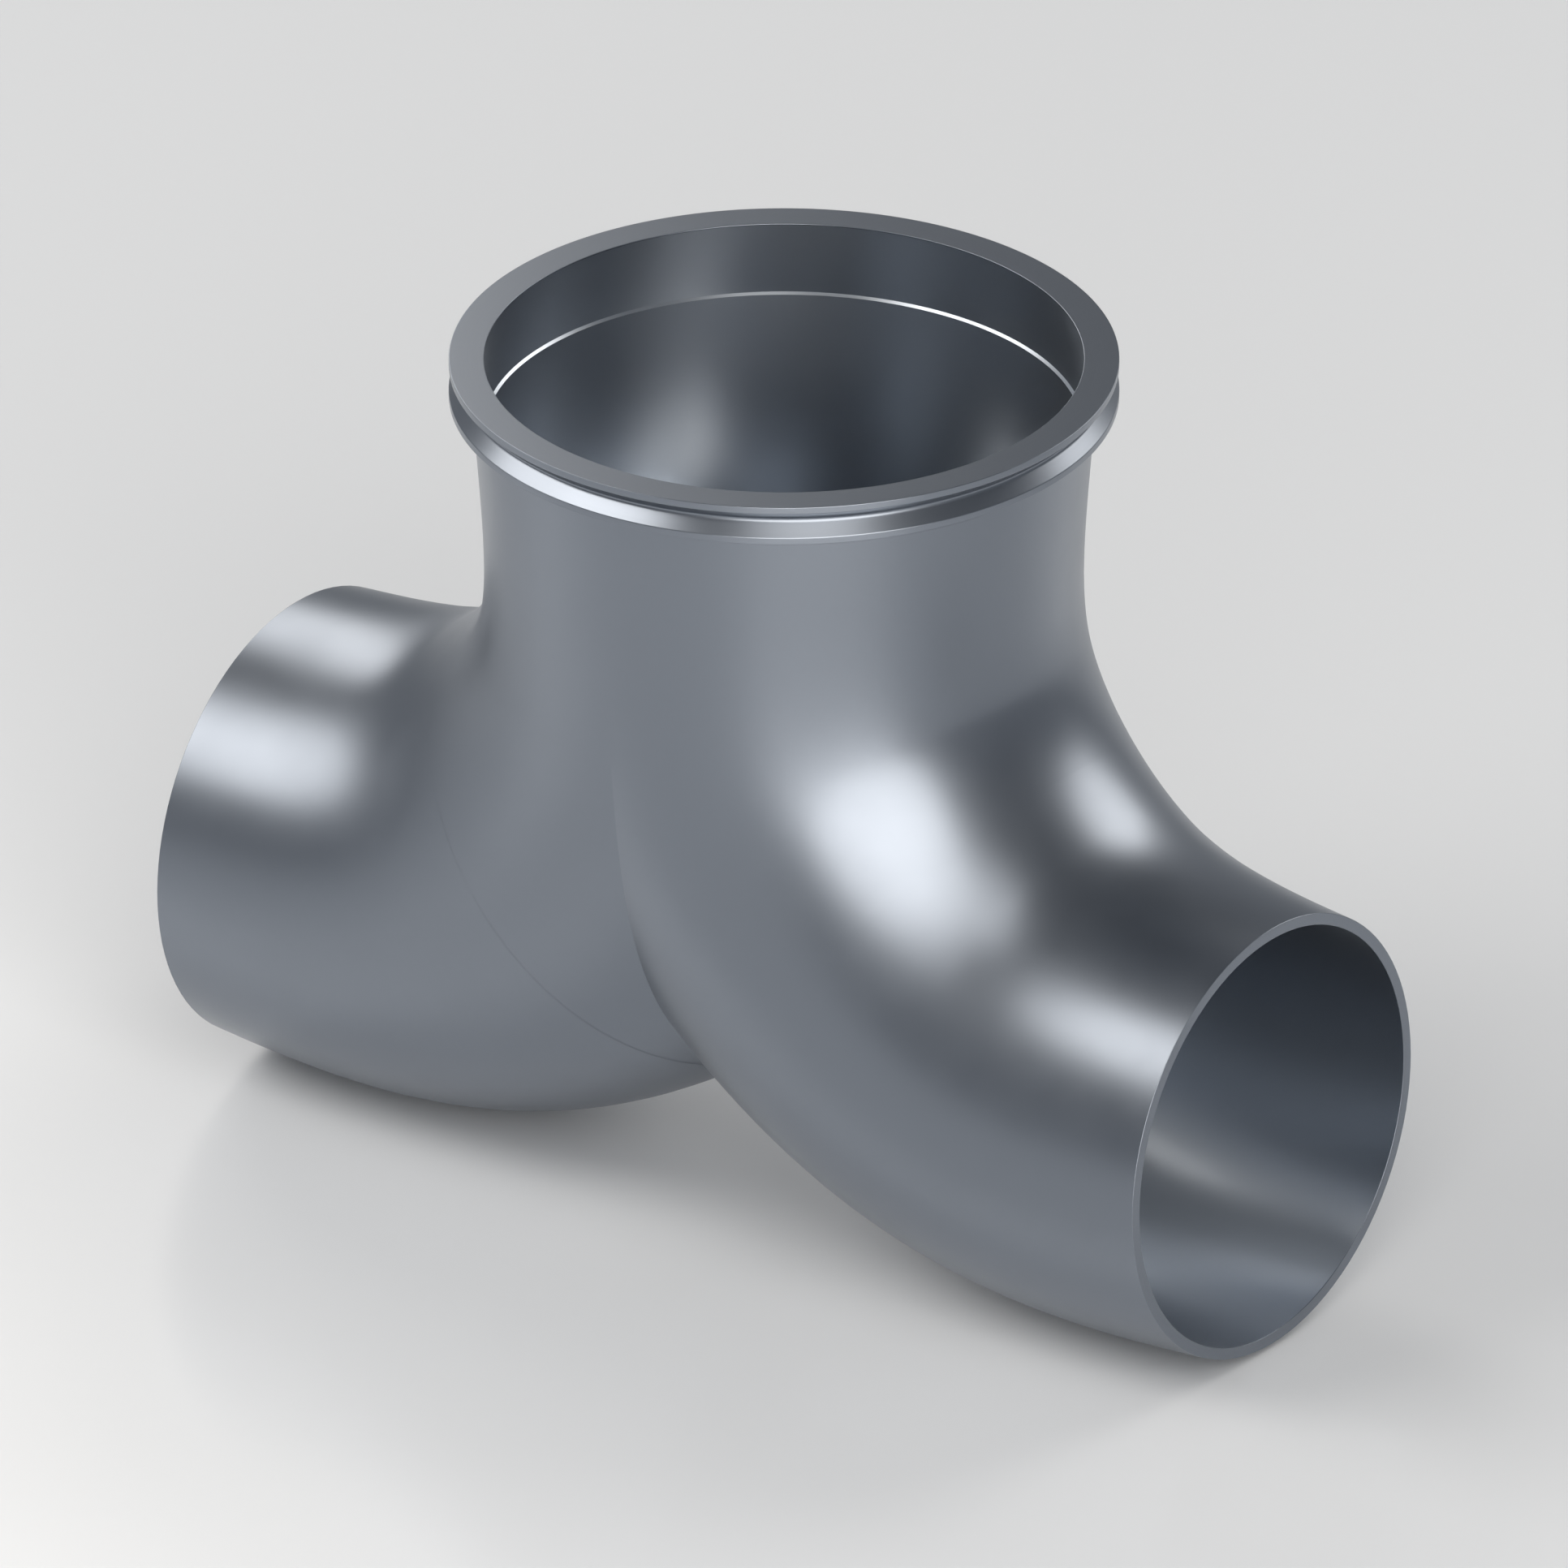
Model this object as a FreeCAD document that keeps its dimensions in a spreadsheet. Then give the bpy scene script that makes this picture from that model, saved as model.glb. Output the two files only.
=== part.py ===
import FreeCAD, Part
import Sketcher
import math
import os

# Y-branch reducer: one thin-walled stainless tube fitting. A grooved collar at the
# top leads into two tapering elbows that share their upper half and turn away to the
# left and the right. Each elbow follows one smooth spline, so its bend has no seam.
# Units are millimetres. The origin is the middle of the collar's top face, +Z points
# back up the inlet's axis, and the outlets face +X and -X.

doc = FreeCAD.newDocument("YBranchReducer")
sheet = doc.addObject("Spreadsheet::Sheet", "Sizes")

SIZES = [
    ("neck_dia", 101.6),         # outside of the tube at the foot of the socket
    ("wall", 2.0),               # tube wall of the neck and the legs
    ("rim_height", 4.2),         # how far the collar's rim is outside the neck's diameter
    ("collar_height", 6.8),      # top face to the collar's flat underside
    ("rim_land", 1.15),          # straight edge left above and below the groove
    ("groove_depth", 1.1),       # how deep the hollow round the collar is
    ("socket_depth", 12.4),      # how far the inlet tube goes in, down to its stop
    ("stop_step", 0.4),          # how far the bevelled stop ring stands in
    ("leg_reach", 100.0),        # inlet's axis to each outlet's face
    ("leg_drop", 99.9),          # foot of the socket to the outlets' axis
    ("end_pull", 17.85),         # centre line's first control point, in from each end
    ("bend_pull", 53.85),        # and its second, which sets how round the elbow is
    ("outlet_dia", 76.1),        # outside of each outlet
]
for row, (alias, value) in enumerate(SIZES, start=1):
    sheet.set("A%d" % row, alias)
    sheet.set("B%d" % row, str(value))
    sheet.setAlias("B%d" % row, alias)
doc.recompute()

# What follows from those sizes, as expressions that the sketches are held to.
RIM_RADIUS = "(Sizes.neck_dia / 2 + Sizes.rim_height)"
BORE_RADIUS = "(Sizes.neck_dia / 2 - Sizes.wall)"
MID_WALL_RADIUS = "((Sizes.neck_dia - Sizes.wall) / 2)"
SOCKET_RADIUS = "(%s + Sizes.stop_step)" % BORE_RADIUS
NECK_LENGTH = "(Sizes.socket_depth + Sizes.stop_step)"
GROOVE_RADIUS = ("((Sizes.collar_height / 2 - Sizes.rim_land)^2 + Sizes.groove_depth^2)"
                 " / (2 * Sizes.groove_depth)")
OUTLET_DROP = "(%s + Sizes.leg_drop)" % NECK_LENGTH

# The tube shrinks evenly along the spline and keeps that slope up through the neck to
# the top face. The spline is cubic with three spans, so it sets off at 9 times end_pull.
TAPER = "((Sizes.neck_dia - Sizes.outlet_dia) / (9 * Sizes.end_pull))"
FACE_DIA = "Sizes.neck_dia + %s * %s" % (TAPER, NECK_LENGTH)


def worked_out(expression):
    return float(sheet.evalExpression(expression))


def origin_plane(body, role):
    for feature in body.Origin.OriginFeatures:
        if feature.Role == role:
            return feature


def new_sketch(body, name, role, offset=None):
    """A sketch on one of the body's own planes, moved along its normal by an expression."""
    sketch = body.newObject("Sketcher::SketchObject", name)
    sketch.AttachmentSupport = [(origin_plane(body, role), "")]
    sketch.MapMode = "FlatFace"
    if offset:
        sketch.setExpression("AttachmentOffset.Base.z", offset)
    return sketch


def dimension(sketch, name, kind, where, expression):
    """One named dimension of a sketch, held to the sheet by its expression."""
    index = sketch.addConstraint(Sketcher.Constraint(kind, *where, worked_out(expression)))
    sketch.renameConstraint(index, name)
    sketch.setExpression("Constraints." + name, expression)


def line(sketch, start, end):
    """A straight edge, kept upright or level where it is drawn so."""
    segment = Part.LineSegment(FreeCAD.Vector(*start, 0), FreeCAD.Vector(*end, 0))
    edge = sketch.addGeometry(segment, False)
    if start[0] == end[0]:
        sketch.addConstraint(Sketcher.Constraint("Vertical", edge))
    elif start[1] == end[1]:
        sketch.addConstraint(Sketcher.Constraint("Horizontal", edge))
    return edge


def join(sketch, edges):
    """Ties the end of each edge to the start of the next, round to the first."""
    for edge, after in zip(edges, edges[1:] + edges[:1]):
        sketch.addConstraint(Sketcher.Constraint("Coincident", edge, 2, after, 1))


def round_section(body, name, role, offset, diameter, low):
    """A round section of the leg, its centre low below the sketch's own middle if given."""
    sketch = new_sketch(body, name, role, offset)
    centre = FreeCAD.Vector(0, -worked_out(low) if low else 0, 0)
    circle = Part.Circle(centre, FreeCAD.Vector(0, 0, 1), worked_out(diameter) / 2)
    ring = sketch.addGeometry(circle, False)
    if low:
        sketch.addConstraint(Sketcher.Constraint("PointOnObject", ring, 3, -2))
        dimension(sketch, "low", "DistanceY", (ring, 3, -1, 1), low)
    else:
        sketch.addConstraint(Sketcher.Constraint("Coincident", ring, 3, -1, 1))
    dimension(sketch, "dia", "Diameter", (ring,), diameter)
    return sketch


def leg_path(body):
    """The right leg's centre line: straight down the neck, then one smooth bend outwards."""
    low, drop, reach = worked_out(NECK_LENGTH), worked_out(OUTLET_DROP), worked_out("Sizes.leg_reach")
    near, far = worked_out("Sizes.end_pull"), worked_out("Sizes.bend_pull")
    sketch = new_sketch(body, "LegPath", "XZ_Plane")
    down = line(sketch, (0, 0), (0, -low))
    poles = [(0, -low), (0, -low - near), (0, -low - far),
             (reach - far, -drop), (reach - near, -drop), (reach, -drop)]
    curve = Part.BSplineCurve()
    curve.buildFromPoles([FreeCAD.Vector(*pole, 0) for pole in poles], False, 3)
    bend = sketch.addGeometry(curve, False)
    knobs = []
    for index, pole in enumerate(poles):
        circle = Part.Circle(FreeCAD.Vector(*pole, 0), FreeCAD.Vector(0, 0, 1), 1.0)
        knobs.append(sketch.addGeometry(circle, True))
        sketch.addConstraint(Sketcher.Constraint(
            "InternalAlignment:Sketcher::BSplineControlPoint", knobs[-1], 3, bend, index))
    sketch.addConstraint(Sketcher.Constraint("Weight", knobs[0], 1.0))
    for knob in knobs[1:]:
        sketch.addConstraint(Sketcher.Constraint("Equal", knobs[0], knob))
    sketch.addConstraint([
        Sketcher.Constraint("Coincident", down, 1, -1, 1),
        Sketcher.Constraint("Coincident", down, 2, bend, 1),
        Sketcher.Constraint("PointOnObject", knobs[1], 3, -2),
        Sketcher.Constraint("PointOnObject", knobs[2], 3, -2),
        Sketcher.Constraint("Horizontal", knobs[3], 3, bend, 2),
        Sketcher.Constraint("Horizontal", knobs[4], 3, bend, 2),
    ])
    dimension(sketch, "low", "DistanceY", (down, 2, -1, 1), NECK_LENGTH)
    dimension(sketch, "pull_in", "DistanceY", (knobs[1], 3, bend, 1), "Sizes.end_pull")
    dimension(sketch, "bend_in", "DistanceY", (knobs[2], 3, bend, 1), "Sizes.bend_pull")
    dimension(sketch, "bend_out", "DistanceX", (knobs[3], 3, bend, 2), "Sizes.bend_pull")
    dimension(sketch, "pull_out", "DistanceX", (knobs[4], 3, bend, 2), "Sizes.end_pull")
    dimension(sketch, "drop", "DistanceY", (bend, 2, -1, 1), OUTLET_DROP)
    dimension(sketch, "reach", "DistanceX", (-1, 1, bend, 2), "Sizes.leg_reach")
    return sketch


def swept_leg(body, kind, name, path, thinner):
    """A round section carried along the leg, shrinking evenly from neck to outlet."""
    stations = [
        ("Face", "XY_Plane", None, FACE_DIA, None),
        ("Neck", "XY_Plane", "-" + NECK_LENGTH, "Sizes.neck_dia", None),
        ("Outlet", "YZ_Plane", "Sizes.leg_reach", "Sizes.outlet_dia", OUTLET_DROP),
    ]
    sections = [round_section(body, name + place, role, offset, diameter + thinner, low)
                for place, role, offset, diameter, low in stations]
    sweep = body.newObject(kind, name)
    sweep.Profile = sections[0]
    sweep.Spine = (path, ["Edge1", "Edge2"])
    sweep.Sections = [(section, [""]) for section in sections[1:]]
    sweep.Transformation = "Multisection"
    return sweep


def trim_to_middle(body):
    """Cuts off what the leg has on the far side of the plane between the two legs."""
    clear = "(Sizes.neck_dia + Sizes.outlet_dia)"
    far = worked_out(clear)
    sketch = new_sketch(body, "TrimBlock", "XY_Plane")
    corners = [(0, -far), (0, far), (-far, far), (-far, -far)]
    edges = [line(sketch, here, there) for here, there in zip(corners, corners[1:] + corners[:1])]
    join(sketch, edges)
    middle, back = edges[:2]
    sketch.addConstraint(Sketcher.Constraint("PointOnObject", middle, 1, -2))
    dimension(sketch, "front", "DistanceY", (middle, 1, -1, 1), clear)
    dimension(sketch, "back", "DistanceY", (-1, 1, middle, 2), clear)
    dimension(sketch, "side", "DistanceX", (back, 2, -1, 1), clear)
    trim = body.newObject("PartDesign::Pocket", "LegTrim")
    trim.Profile = sketch
    trim.Type = "ThroughAll"
    trim.Midplane = True


def mirror_half(body):
    """The same half again, across the plane between the legs."""
    mirror = body.newObject("PartDesign::Mirrored", "BothLegs")
    mirror.TransformMode = "Whole shape"
    mirror.MirrorPlane = (origin_plane(body, "YZ_Plane"), [""])
    body.Tip = mirror


def spun(body, kind, name, sketch):
    """A profile turned once round the inlet's axis."""
    feature = body.newObject(kind, name)
    feature.Profile = sketch
    feature.ReferenceAxis = (sketch, ["V_Axis"])
    feature.Angle = 360.0


def collar_profile(body):
    """Half section of the collar, with its hollow edge, and of the core for the stop.

    The core ends inside the neck's wall, so the neck keeps the leg's own outside.
    """
    rim, core, low = worked_out(RIM_RADIUS), worked_out(MID_WALL_RADIUS), worked_out(NECK_LENGTH)
    high, land = worked_out("Sizes.collar_height"), worked_out("Sizes.rim_land")
    deepest = rim - worked_out("Sizes.groove_depth")
    sketch = new_sketch(body, "CollarProfile", "XZ_Plane")
    top = line(sketch, (0, 0), (rim, 0))
    upper = line(sketch, (rim, 0), (rim, -land))
    hollow = sketch.addGeometry(Part.Arc(FreeCAD.Vector(rim, -land, 0),
                                         FreeCAD.Vector(deepest, -high / 2, 0),
                                         FreeCAD.Vector(rim, land - high, 0)), False)
    lower = line(sketch, (rim, land - high), (rim, -high))
    under = line(sketch, (rim, -high), (core, -high))
    neck = line(sketch, (core, -high), (core, -low))
    foot = line(sketch, (core, -low), (0, -low))
    axis = line(sketch, (0, -low), (0, 0))
    join(sketch, [top, upper, hollow, lower, under, neck, foot, axis])
    sketch.addConstraint(Sketcher.Constraint("Coincident", top, 1, -1, 1))
    sketch.addConstraint(Sketcher.Constraint("Equal", upper, lower))
    sketch.addConstraint(Sketcher.Constraint("Vertical", upper, 1, lower, 2))
    dimension(sketch, "rim", "DistanceX", (-1, 1, top, 2), RIM_RADIUS)
    dimension(sketch, "land", "DistanceY", (upper, 2, top, 2), "Sizes.rim_land")
    dimension(sketch, "high", "DistanceY", (lower, 2, top, 2), "Sizes.collar_height")
    dimension(sketch, "core", "DistanceX", (-1, 1, neck, 1), MID_WALL_RADIUS)
    dimension(sketch, "low", "DistanceY", (neck, 2, -1, 1), NECK_LENGTH)
    dimension(sketch, "hollow", "Radius", (hollow,), GROOVE_RADIUS)
    return sketch


def socket_profile(body):
    """Half section of the inlet's socket, down to the foot of its bevelled stop."""
    wide, bore = worked_out(SOCKET_RADIUS), worked_out(BORE_RADIUS)
    deep, low = worked_out("Sizes.socket_depth"), worked_out(NECK_LENGTH)
    sketch = new_sketch(body, "SocketProfile", "XZ_Plane")
    corners = [(0, 0), (wide, 0), (wide, -deep), (bore, -low), (0, -low)]
    edges = [line(sketch, here, there) for here, there in zip(corners, corners[1:] + corners[:1])]
    join(sketch, edges)
    top, side, bevel = edges[:3]
    sketch.addConstraint(Sketcher.Constraint("Coincident", top, 1, -1, 1))
    dimension(sketch, "wide", "DistanceX", (-1, 1, top, 2), SOCKET_RADIUS)
    dimension(sketch, "deep", "DistanceY", (side, 2, side, 1), "Sizes.socket_depth")
    dimension(sketch, "bore", "DistanceX", (-1, 1, bevel, 2), BORE_RADIUS)
    dimension(sketch, "low", "DistanceY", (bevel, 2, -1, 1), NECK_LENGTH)
    return sketch


def y_branch_body():
    """The whole fitting: two hollow half legs, then the collar and its socket."""
    body = doc.addObject("PartDesign::Body", "YBranchBody")
    body.Label = "y_branch_body"
    body.Placement = FreeCAD.Placement()
    path = leg_path(body)
    swept_leg(body, "PartDesign::AdditivePipe", "LegOutside", path, "")
    trim_to_middle(body)
    swept_leg(body, "PartDesign::SubtractivePipe", "LegBore", path, " - 2 * Sizes.wall")
    doc.recompute()
    mirror_half(body)
    doc.recompute()
    spun(body, "PartDesign::Revolution", "Collar", collar_profile(body))
    spun(body, "PartDesign::Groove", "Socket", socket_profile(body))
    return body


body = y_branch_body()
doc.recompute()
for item in doc.Objects:
    if "Invalid" in item.State or "Error" in item.State:
        raise RuntimeError("%s did not build: %s" % (item.Name, item.State))
shape = body.Shape
if shape.isNull() or not shape.isValid() or len(shape.Solids) != 1:
    raise RuntimeError("the fitting is not one valid solid")
os.makedirs("parts", exist_ok=True)
shape.exportStep("parts/%s.step" % body.Label)
box = shape.optimalBoundingBox(False)
print("%s: %.0f mm3, %.1f x %.1f x %.1f mm, outlets %.1f mm below the top face"
      % (body.Label, shape.Volume, box.XLength, box.YLength, box.ZLength, worked_out(OUTLET_DROP)))
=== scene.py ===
# Y-branch reducer in satin stainless steel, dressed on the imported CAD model.
import math

import bmesh
import bpy
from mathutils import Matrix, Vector


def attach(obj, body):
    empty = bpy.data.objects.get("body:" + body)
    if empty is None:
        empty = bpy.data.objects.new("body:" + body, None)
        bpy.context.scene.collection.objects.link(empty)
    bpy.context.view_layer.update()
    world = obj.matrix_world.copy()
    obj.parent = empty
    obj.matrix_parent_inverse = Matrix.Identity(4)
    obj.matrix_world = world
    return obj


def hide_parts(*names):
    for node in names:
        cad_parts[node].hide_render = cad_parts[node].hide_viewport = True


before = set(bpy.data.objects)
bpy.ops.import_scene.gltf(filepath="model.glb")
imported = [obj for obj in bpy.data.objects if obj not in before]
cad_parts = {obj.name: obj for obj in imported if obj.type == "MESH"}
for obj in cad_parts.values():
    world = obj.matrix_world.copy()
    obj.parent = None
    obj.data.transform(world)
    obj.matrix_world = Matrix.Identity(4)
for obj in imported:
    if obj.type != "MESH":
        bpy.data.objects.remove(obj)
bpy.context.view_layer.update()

scene = bpy.context.scene
mm = 0.001


def hexColour(text):
    # sRGB hex to the linear numbers that the shaders want
    parts = [int(text[i:i + 2], 16) / 255 for i in (1, 3, 5)]
    return [c / 12.92 if c <= 0.04045 else ((c + 0.055) / 1.055) ** 2.4 for c in parts] + [1.0]


def addNode(tree, kind, settings=None, **links):
    # one node: settings by property or socket name, links by socket name
    node = tree.nodes.new(kind)
    for key, value in (settings or {}).items():
        if hasattr(node, key):
            setattr(node, key, value)
        else:
            node.inputs[key].default_value = value
    for key, source in links.items():
        tree.links.new(source, node.inputs[key])
    return node


def newMaterial(name):
    material = bpy.data.materials.new(name)
    material.use_nodes = True
    material.node_tree.nodes.clear()
    return material, material.node_tree


def noiseOver(tree, vector, sizeMm, detail, roughness):
    return addNode(tree, "ShaderNodeTexNoise",
                   {"Scale": 1000 / sizeMm, "Detail": detail, "Roughness": roughness},
                   Vector=vector)


def unevenRoughness(tree, look, noise):
    # noise mostly stays between 0.3 and 0.7: that stretch covers the look's whole spread
    return addNode(tree, "ShaderNodeMapRange",
                   {"From Min": 0.3, "From Max": 0.7,
                    "To Min": look["roughness"] - look["roughnessSpread"],
                    "To Max": look["roughness"] + look["roughnessSpread"]},
                   Value=noise.outputs["Fac"])


def coverWith(tree, look, metallic, **links):
    # the surface itself and the material's output
    shader = addNode(tree, "ShaderNodeBsdfPrincipled",
                     {"Base Color": hexColour(look["colour"]), "Metallic": metallic}, **links)
    addNode(tree, "ShaderNodeOutputMaterial", Surface=shader.outputs["BSDF"])
    return shader


def pointOn(azimuth, elevation, distance, centre):
    # azimuth 0 is in front (-Y), 90 is at the right-hand outlet (+X)
    a, e = math.radians(azimuth), math.radians(elevation)
    away = Vector((math.sin(a) * math.cos(e), -math.cos(a) * math.cos(e), math.sin(e)))
    return centre + away * distance, away


# Camera: a flat (orthographic) view from the front right, looking down.
camera = {
    "azimuth": 36.9,
    "elevation": 26.57,
    "frameWidth": 0.2571,      # metres across the square picture
    "aimDepth": 0.0781,        # below the collar's top face, on the inlet's axis
    "distance": 1.2,
}
aim = Vector((0, 0, -camera["aimDepth"]))
place, back = pointOn(camera["azimuth"], camera["elevation"], camera["distance"], aim)
lens = bpy.data.cameras.new("viewCamera")
lens.type = "ORTHO"
lens.ortho_scale = camera["frameWidth"]
viewer = bpy.data.objects.new("viewCamera", lens)
viewer.location = place
viewer.rotation_mode = "QUATERNION"
viewer.rotation_quaternion = back.to_track_quat("Z", "Y")
scene.collection.objects.link(viewer)
scene.camera = viewer
print("camera placed")


# The fitting: the solid's own shape again, in even quads that follow the bend, so that
# the shine runs smoothly over it. Two things differ: the collar's groove is a V and
# deeper than the solid's round hollow, and the edges are broken. Sizes are millimetres.
fitting = {
    "neckDia": 101.6,          # outside of the tube at the foot of the socket
    "wall": 2.0,
    "rimHeight": 4.2,          # how far the collar's rim is outside the neck's diameter
    "collarHeight": 6.8,
    "rimLand": 1.2,            # straight edge above and below the groove
    "grooveTilt": 40,          # how far the groove's lower side faces up, in degrees
    "grooveRoof": 50,          # how far its upper side faces down
    "grooveFillet": 0.8,       # and how softly the two sides meet
    "socketDepth": 12.4,
    "stopStep": 0.4,           # how far the bevelled stop ring stands in
    "legReach": 100.0,
    "legDrop": 99.9,           # foot of the socket to the outlets' axis
    "endPull": 17.85,          # centre line's first control point, in from each end
    "bendPull": 53.85,         # and its second
    "outletDia": 76.1,
    "edgeBreak": 0.12,         # a file's touch on the turned and cut edges
    "around": 96,              # quads round half of the neck, and round a whole leg
    "aboveCrotch": 64,         # rings from the socket's foot to where the legs part
    "belowCrotch": 72,         # rings from there to the outlet
}
neckLow = fitting["socketDepth"] + fitting["stopStep"]
boreRadius = fitting["neckDia"] / 2 - fitting["wall"]
socketRadius = boreRadius + fitting["stopStep"]
outletDrop = neckLow + fitting["legDrop"]
spineStart = 9 * fitting["endPull"]        # the spline's speed at both ends: cubic, three spans
taper = (fitting["neckDia"] - fitting["outletDia"]) / 2 / spineStart
poles = [Vector((0, -neckLow)),
         Vector((0, -neckLow - fitting["endPull"])),
         Vector((0, -neckLow - fitting["bendPull"])),
         Vector((fitting["legReach"] - fitting["bendPull"], -outletDrop)),
         Vector((fitting["legReach"] - fitting["endPull"], -outletDrop)),
         Vector((fitting["legReach"], -outletDrop))]
knots = [0, 0, 0, 0, 1, 2, 3, 3, 3, 3]


def spinePoint(t):
    # the cubic spline's point and its direction, t from 0 at the neck to 1 at the outlet
    span = min(int(t * 3), 2)
    corners = [poles[span + i] for i in range(4)]
    for level in range(1, 4):
        if level == 3:
            along = corners[1] - corners[0]
        for i in range(4 - level):
            left, right = knots[span + i + level], knots[span + i + 4]
            corners[i] = corners[i].lerp(corners[i + 1], (t * 3 - left) / (right - left))
    return corners[0], along.normalized()


def tubeRadius(t, thinner):
    return (fitting["neckDia"] * (1 - t) + fitting["outletDia"] * t) / 2 - thinner


def legRing(t, thinner):
    # one ring of the right leg, as far round as it stays on its own side of the middle
    centre, along = spinePoint(t)
    radius = tubeRadius(t, thinner)
    across = Vector((-along.y, along.x))
    # how far away the middle is in radii, along the ring: over 1, the whole ring is clear of it
    share = centre.x / (radius * across.x) if across.x > 1e-6 else 2.0
    reach = math.acos(-share) if share < 1 else math.pi
    ring = []
    for i in range(fitting["around"] + 1):
        turn = reach * (2 * i / fitting["around"] - 1)
        side = radius * math.cos(turn)
        ring.append(Vector((centre.x + side * across.x, radius * math.sin(turn),
                            centre.y + side * across.y)))
    if share < 1:
        ring[0].x = ring[-1].x = 0
    return ring


def partingPlace(thinner):
    # where along the leg the two tubes part: the ring that only just touches the middle
    low, high = 0.0, 1.0
    for halving in range(50):
        t = (low + high) / 2
        centre, along = spinePoint(t)
        if centre.x < -along.y * tubeRadius(t, thinner):
            low = t
        else:
            high = t
    return high


def legRings(thinner):
    # closer together towards the crotch, then evenly spaced to the outlet
    part, last = partingPlace(thinner), 1 - fitting["edgeBreak"] / spineStart
    aboveRings, belowRings = fitting["aboveCrotch"], fitting["belowCrotch"]
    above = [part * (1 - (1 - i / aboveRings) ** 2) for i in range(aboveRings)]
    below = [part + (last - part) * i / belowRings for i in range(belowRings + 1)]
    return [legRing(t, thinner) for t in above + below]


def softCorners(corners, steps=6):
    # a polyline whose inner corners, each with its own softness, are rounded off
    points = [Vector(corner[:2]) for corner in corners]
    soft = [points[0]]
    for before, corner, after, (x, y, size) in zip(points, points[1:], points[2:], corners[1:]):
        start = corner + (before - corner).normalized() * size
        end = corner + (after - corner).normalized() * size
        soft += [start.lerp(corner, k / steps).lerp(corner.lerp(end, k / steps), k / steps)
                 for k in range(steps + 1)]
    return soft + [points[-1]]


def turnedRing(radius, height):
    # half a ring round the inlet's axis
    angles = [math.pi * (i / fitting["around"] - 0.5) for i in range(fitting["around"] + 1)]
    return [Vector((radius * math.cos(a), radius * math.sin(a), height)) for a in angles]


def endRing(radius, depth):
    # a whole ring round the outlet's axis, as far round as the leg's last ring
    angles = [math.pi * (2 * i / fitting["around"] - 1) for i in range(fitting["around"] + 1)]
    return [Vector((depth, radius * math.sin(a), radius * math.cos(a) - outletDrop)) for a in angles]


def skin(mesh, rings, finish, inside=False):
    # quads between each ring and the next, here and mirrored on the other side
    for mirror in (1, -1):
        rows = [[mesh.verts.new((p.x * mirror, p.y, p.z)) for p in ring] for ring in rings]
        for upper, lower in zip(rows, rows[1:]):
            for i in range(fitting["around"]):
                corners = [upper[i], lower[i], lower[i + 1], upper[i + 1]]
                if (mirror < 0) != inside:
                    corners.reverse()
                mesh.faces.new(corners).material_index = finish


def collarProfile():
    # radius and height: from the neck out round the collar and over its face to the socket
    neck, crisp = fitting["neckDia"] / 2, fitting["edgeBreak"]
    rim, high, land = neck + fitting["rimHeight"], fitting["collarHeight"], fitting["rimLand"]
    under = neck + taper * (neckLow - high)
    lowSide, topSide = [math.tan(math.radians(fitting[key])) for key in ("grooveTilt", "grooveRoof")]
    depth = (high - 2 * land) / (1 / lowSide + 1 / topSide)
    return softCorners([
        (under, -high, 0), (rim, -high, crisp), (rim, land - high, crisp),
        (rim - depth, -land - depth / topSide, fitting["grooveFillet"]),
        (rim, -land, crisp), (rim, 0, crisp),
        (socketRadius, 0, crisp), (socketRadius, -2 * crisp, 0)])


satinFinish, turnedFinish, boreFinish = 0, 1, 2      # the materials' places on the mesh
quads = bmesh.new()
neckRises = (neckLow - fitting["collarHeight"], 4.0, 2.0)      # above the legs' first ring
neckTop = [turnedRing(fitting["neckDia"] / 2 + taper * up, up - neckLow) for up in neckRises]
skin(quads, neckTop + legRings(0), satinFinish)
# the inside of the legs and, below, the socket get the bore's steel, whose lighter colour is painted
# light
skin(quads, legRings(fitting["wall"]), boreFinish, inside=True)
collar = collarProfile()
socket = [collar[-1], Vector((socketRadius, -fitting["socketDepth"])), Vector((boreRadius, -neckLow))]
skin(quads, [turnedRing(p.x, p.y) for p in collar], turnedFinish, inside=True)
skin(quads, [turnedRing(p.x, p.y) for p in socket], boreFinish, inside=True)
outletRadius, reach, crisp = fitting["outletDia"] / 2, fitting["legReach"], fitting["edgeBreak"]
tubeEnd = tubeRadius(1 - crisp / spineStart, 0)       # the leg's last ring, a hair wider
cut = softCorners([(tubeEnd, reach - crisp, 0), (outletRadius, reach, crisp),
                   (outletRadius - fitting["wall"], reach, crisp),
                   (tubeEnd - fitting["wall"], reach - crisp, 0)])
skin(quads, [endRing(p.x, p.y) for p in cut], turnedFinish)

hair = 1e-3                                          # corners nearer than this are one
creaseAngle, cornerAngle = math.radians(5), math.radians(35)
bmesh.ops.remove_doubles(quads, verts=quads.verts, dist=hair)
for seam in quads.edges:
    # the crease where the legs meet stays sharp however slight it is
    onMiddle = all(abs(v.co.x) < hair for v in seam.verts)
    seam.smooth = seam.calc_face_angle(0) < (creaseAngle if onMiddle else cornerAngle)
for face in quads.faces:
    face.smooth = True
bmesh.ops.scale(quads, vec=(mm, mm, mm), verts=quads.verts)
openEdges = sum(not seam.is_manifold for seam in quads.edges)
shellMesh = bpy.data.meshes.new("yBranchShell")
quads.to_mesh(shellMesh)
quads.free()
shell = bpy.data.objects.new("yBranchShell", shellMesh)
scene.collection.objects.link(shell)
evenShine = shell.modifiers.new("evenShine", "WEIGHTED_NORMAL")
evenShine.keep_sharp = True
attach(shell, "root")
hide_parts("y_branch_body")
print("fitting made of", len(shellMesh.polygons), "quads, open edges:", openEdges)


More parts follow.
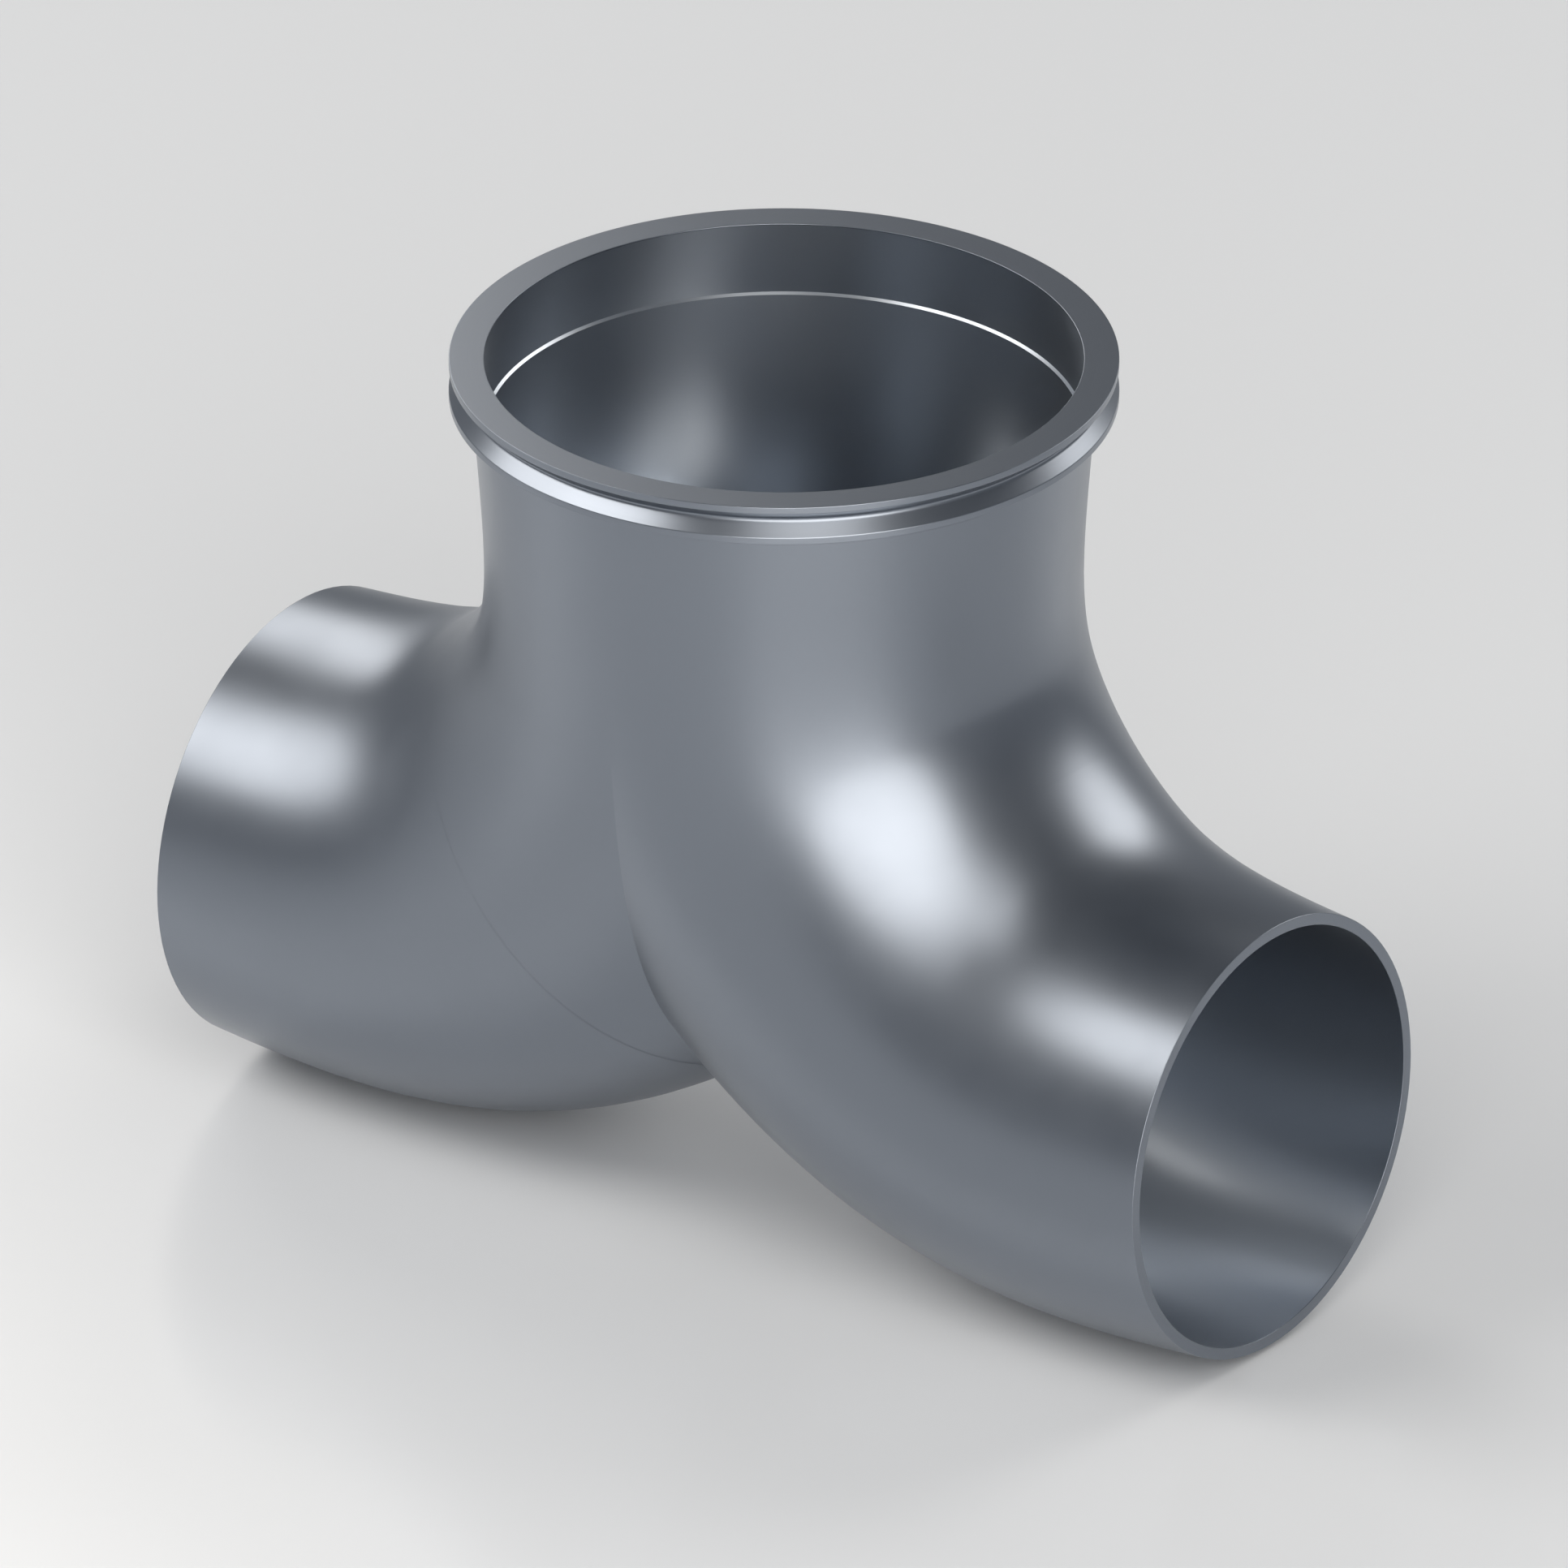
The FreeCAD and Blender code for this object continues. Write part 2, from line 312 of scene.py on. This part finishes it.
# 304 stainless tube, drawn and satin polished: soft wide highlights, a cool grey
# body, and a very fine grain that only shows as slight unevenness in the shine.
satin = {
    "colour": "#848a93",
    "roughness": 0.34,
    "roughnessSpread": 0.02,
    "grainMm": 0.35,           # real polishing lines are about 0.05 mm apart: drawn coarser to show
    "cloudMm": 14.0,           # how wide the slow unevenness of a polished tube is
    "grainDepthMm": 0.0008,
    "grainStrength": 0.3,
}
steel, tree = newMaterial("satinPolished304Stainless")
where = addNode(tree, "ShaderNodeTexCoord")
cloud = noiseOver(tree, where.outputs["Object"], satin["cloudMm"], 3.0, 0.5)
grain = noiseOver(tree, where.outputs["Object"], satin["grainMm"], 2.0, 0.6)
rough = unevenRoughness(tree, satin, cloud)
bump = addNode(tree, "ShaderNodeBump",
               {"Strength": satin["grainStrength"], "Distance": satin["grainDepthMm"] * mm},
               Height=grain.outputs["Fac"])
coverWith(tree, satin, 1.0, Roughness=rough.outputs["Result"], Normal=bump.outputs["Normal"])
print("satin steel done")


# The same steel turned on a lathe, on the collar and the cut ends: a little sharper in
# its shine than the tube, with the tool's fine rings running round the axis.
turned = {
    "colour": "#848a93",
    "roughness": 0.30,
    "roughnessSpread": 0.02,
    "feedMm": 0.45,            # a finishing cut's rings are about 0.1 mm apart: drawn coarser to show
    "ringDepthMm": 0.0004,
    "ringStrength": 0.3,
}
lathe, tree = newMaterial("turned304Stainless")
where = addNode(tree, "ShaderNodeTexCoord")
spot = addNode(tree, "ShaderNodeSeparateXYZ", Vector=where.outputs["Object"])
flat = addNode(tree, "ShaderNodeCombineXYZ", X=spot.outputs["X"], Y=spot.outputs["Y"])
fromAxis = addNode(tree, "ShaderNodeVectorMath", {"operation": "LENGTH"},
                   Vector=flat.outputs["Vector"])
travel = addNode(tree, "ShaderNodeCombineXYZ", X=fromAxis.outputs["Value"], Y=spot.outputs["Z"])
toolRings = noiseOver(tree, travel.outputs["Vector"], turned["feedMm"], 2.0, 0.5)
rough = unevenRoughness(tree, turned, toolRings)
bump = addNode(tree, "ShaderNodeBump",
               {"Strength": turned["ringStrength"], "Distance": turned["ringDepthMm"] * mm},
               Height=toolRings.outputs["Fac"])
coverWith(tree, turned, 1.0, Roughness=rough.outputs["Result"], Normal=bump.outputs["Normal"])
print("turned steel done")


# The same steel in the socket and the bore, pickled and polished for what flows through it: a little
# smoother in its shine than the satin outside, and its colour painted lighter, as painted light for
# the light passed on down the bore.
polished = {
    # painted lighter than the satin's colour: painted light inside the tube
    "colour": "#b2b8c0",
    "roughness": 0.30,
    "roughnessSpread": 0.01,
    "cloudMm": 18.0,
}
bore, tree = newMaterial("polishedBore304StainlessPaintedLighter")
where = addNode(tree, "ShaderNodeTexCoord")
cloud = noiseOver(tree, where.outputs["Object"], polished["cloudMm"], 3.0, 0.5)
rough = unevenRoughness(tree, polished, cloud)
coverWith(tree, polished, 1.0, Roughness=rough.outputs["Result"])
for finish in (steel, lathe, bore):
    shellMesh.materials.append(finish)
print("polished bore done")


# Floor: one plain pale sheet under the legs.
floorLook = {"colour": "#dfe2e6", "roughness": 0.22, "width": 8.0}
halfFloor = floorLook["width"] / 2
ground = min(corner.co.z for corner in shellMesh.vertices)
floorMesh = bpy.data.meshes.new("floor")
floorMesh.from_pydata([(halfFloor * x, halfFloor * y, ground)
                       for x, y in ((-1, -1), (1, -1), (1, 1), (-1, 1))], [], [(0, 1, 2, 3)])
floor = bpy.data.objects.new("floor", floorMesh)
scene.collection.objects.link(floor)
paint, tree = newMaterial("mattPaintedFloor")
coverWith(tree, floorLook, 0.0).inputs["Roughness"].default_value = floorLook["roughness"]
floorMesh.materials.append(paint)
print("floor done")


# Studio: big soft lamps round the fitting, and an even grey room.
studio = {
    "lampColour": "#fffaf3",
    "lampDistance": 1.1,
    "lampAimDepth": 0.08,      # below the collar's top face
    "roomColour": "#eff4fb",
    "roomLow": 0.33,           # the room's strength at the horizon
    "roomHigh": 0.18,          # and overhead
    "roomFade": 0.8,           # the height where it has faded, 1 being straight up
}
lamps = [
    # name, azimuth, elevation, width, height, brightness (radiance)
    ("keySoftbox", 49, 16, 1.10, 1.20, 3.9),
    ("topSoftbox", 48, 55, 0.62, 0.34, 2.2),
    ("frontSoftbox", -32, 46, 0.56, 0.52, 4.4),
    ("sideSoftbox", -62, 31, 0.66, 0.60, 3.6),
    ("leftSoftbox", -122, 32, 0.56, 0.55, 3.4),
    ("backSoftbox", 164, 32, 0.74, 0.66, 3.2),
]
for name, azimuth, elevation, width, height, radiance in lamps:
    place, away = pointOn(azimuth, elevation, studio["lampDistance"],
                          Vector((0, 0, -studio["lampAimDepth"])))
    light = bpy.data.lights.new(name, "AREA")
    light.shape = "ELLIPSE"
    light.color = hexColour(studio["lampColour"])[:3]
    light.size, light.size_y = width, height
    # the lamp's power: its radiance times the ellipse's area times pi
    light.energy = radiance * width * height * math.pi ** 2 / 4
    lamp = bpy.data.objects.new(name, light)
    lamp.location = place
    lamp.rotation_mode = "QUATERNION"
    lamp.rotation_quaternion = away.to_track_quat("Z", "Y")
    scene.collection.objects.link(lamp)

room = bpy.data.worlds.new("studioRoom")
room.use_nodes = True
room.node_tree.nodes.clear()
way = addNode(room.node_tree, "ShaderNodeTexCoord")
rise = addNode(room.node_tree, "ShaderNodeSeparateXYZ", Vector=way.outputs["Generated"])
fade = addNode(room.node_tree, "ShaderNodeMapRange",
               {"interpolation_type": "SMOOTHSTEP", "From Min": 0.0, "From Max": studio["roomFade"],
                "To Min": studio["roomLow"], "To Max": studio["roomHigh"]},
               Value=rise.outputs["Z"])
air = addNode(room.node_tree, "ShaderNodeBackground", {"Color": hexColour(studio["roomColour"])},
              Strength=fade.outputs["Result"])
addNode(room.node_tree, "ShaderNodeOutputWorld", Surface=air.outputs["Background"])
scene.world = room
scene.view_settings.view_transform = "Standard"
print("studio done")
